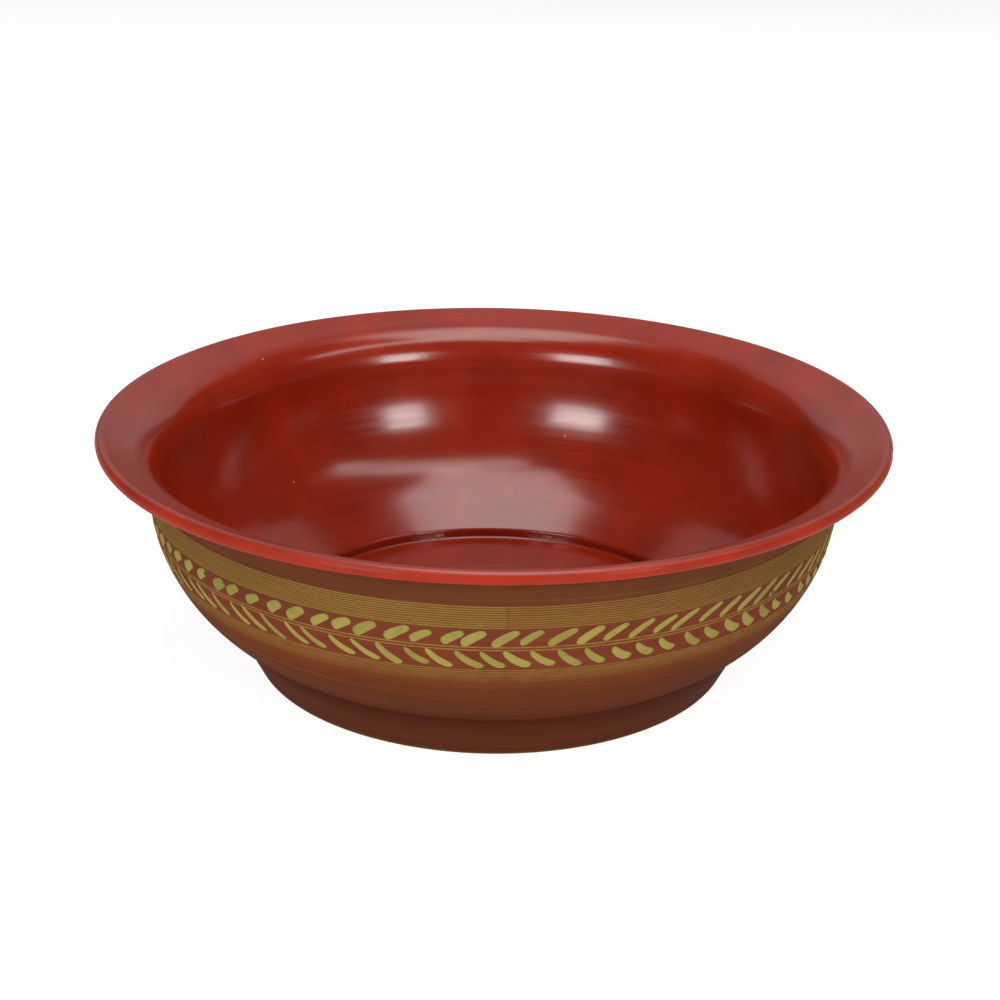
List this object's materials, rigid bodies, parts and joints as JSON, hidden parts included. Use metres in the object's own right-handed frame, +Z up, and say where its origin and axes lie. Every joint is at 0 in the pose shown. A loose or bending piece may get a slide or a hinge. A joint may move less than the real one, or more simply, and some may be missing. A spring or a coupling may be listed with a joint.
{
  "type": "lacquered bowl",
  "caption": "Wide flared lacquered bowl on a tapered foot ring, with a rounded rolled lip, a set-in floor and a painted leaf band outside.",
  "frame": {"origin": "centre of the circle that the foot stands on, at the standing plane", "axes": "+Z up the bowl's own axis, out of its mouth; +X and +Y are level, and the bowl is round, so their direction is free"},
  "size_m": [0.34, 0.34, 0.1086],
  "materials": {
    "bamboo_strip": "split bamboo, scraped, unfinished",
    "red_lacquer": "red lacquer over ground, rubbed to a soft gloss",
    "painted_lacquer": "brown-red lacquer with fine ochre lines and a painted band of leaf strokes",
    "foot_lacquer": "dark brown-red lacquer, worn at the standing edge",
    "dark_lacquer": "thin dark lacquer"
  },
  "bodies": {
    "root": {"wall_hoop_01": "bamboo_strip", "wall_hoop_02": "bamboo_strip", "wall_hoop_03": "bamboo_strip", "wall_hoop_04": "bamboo_strip", "wall_hoop_05": "bamboo_strip", "wall_hoop_06": "bamboo_strip", "wall_hoop_07": "bamboo_strip", "wall_hoop_08": "bamboo_strip", "wall_hoop_09": "bamboo_strip", "wall_hoop_10": "bamboo_strip", "wall_hoop_11": "bamboo_strip", "wall_hoop_12": "bamboo_strip", "wall_hoop_13": "bamboo_strip", "wall_hoop_14": "bamboo_strip", "wall_hoop_15": "bamboo_strip", "wall_hoop_16": "bamboo_strip", "wall_hoop_17": "bamboo_strip", "wall_hoop_18": "bamboo_strip", "wall_hoop_19": "bamboo_strip", "wall_hoop_20": "bamboo_strip", "wall_hoop_21": "bamboo_strip", "wall_hoop_22": "bamboo_strip", "wall_hoop_23": "bamboo_strip", "rim_hoop": "bamboo_strip", "foot_hoop_1": "bamboo_strip", "foot_hoop_2": "bamboo_strip", "foot_hoop_3": "bamboo_strip", "foot_hoop_4": "bamboo_strip", "foot_hoop_5": "bamboo_strip", "floor_button": "bamboo_strip", "floor_hoop_01": "bamboo_strip", "floor_hoop_02": "bamboo_strip", "floor_hoop_03": "bamboo_strip", "floor_hoop_04": "bamboo_strip", "floor_hoop_05": "bamboo_strip", "floor_hoop_06": "bamboo_strip", "floor_hoop_07": "bamboo_strip", "floor_hoop_08": "bamboo_strip", "floor_hoop_09": "bamboo_strip", "floor_hoop_10": "bamboo_strip", "floor_hoop_11": "bamboo_strip", "floor_hoop_12": "bamboo_strip", "floor_hoop_13": "bamboo_strip", "floor_hoop_14": "bamboo_strip", "inner_lacquer": "red_lacquer", "floor_lacquer": "red_lacquer", "outer_lacquer": "painted_lacquer", "foot_lacquer": "foot_lacquer", "base_lacquer": "dark_lacquer", "foot_inner_lacquer": "dark_lacquer"}
  },
  "joints": []
}
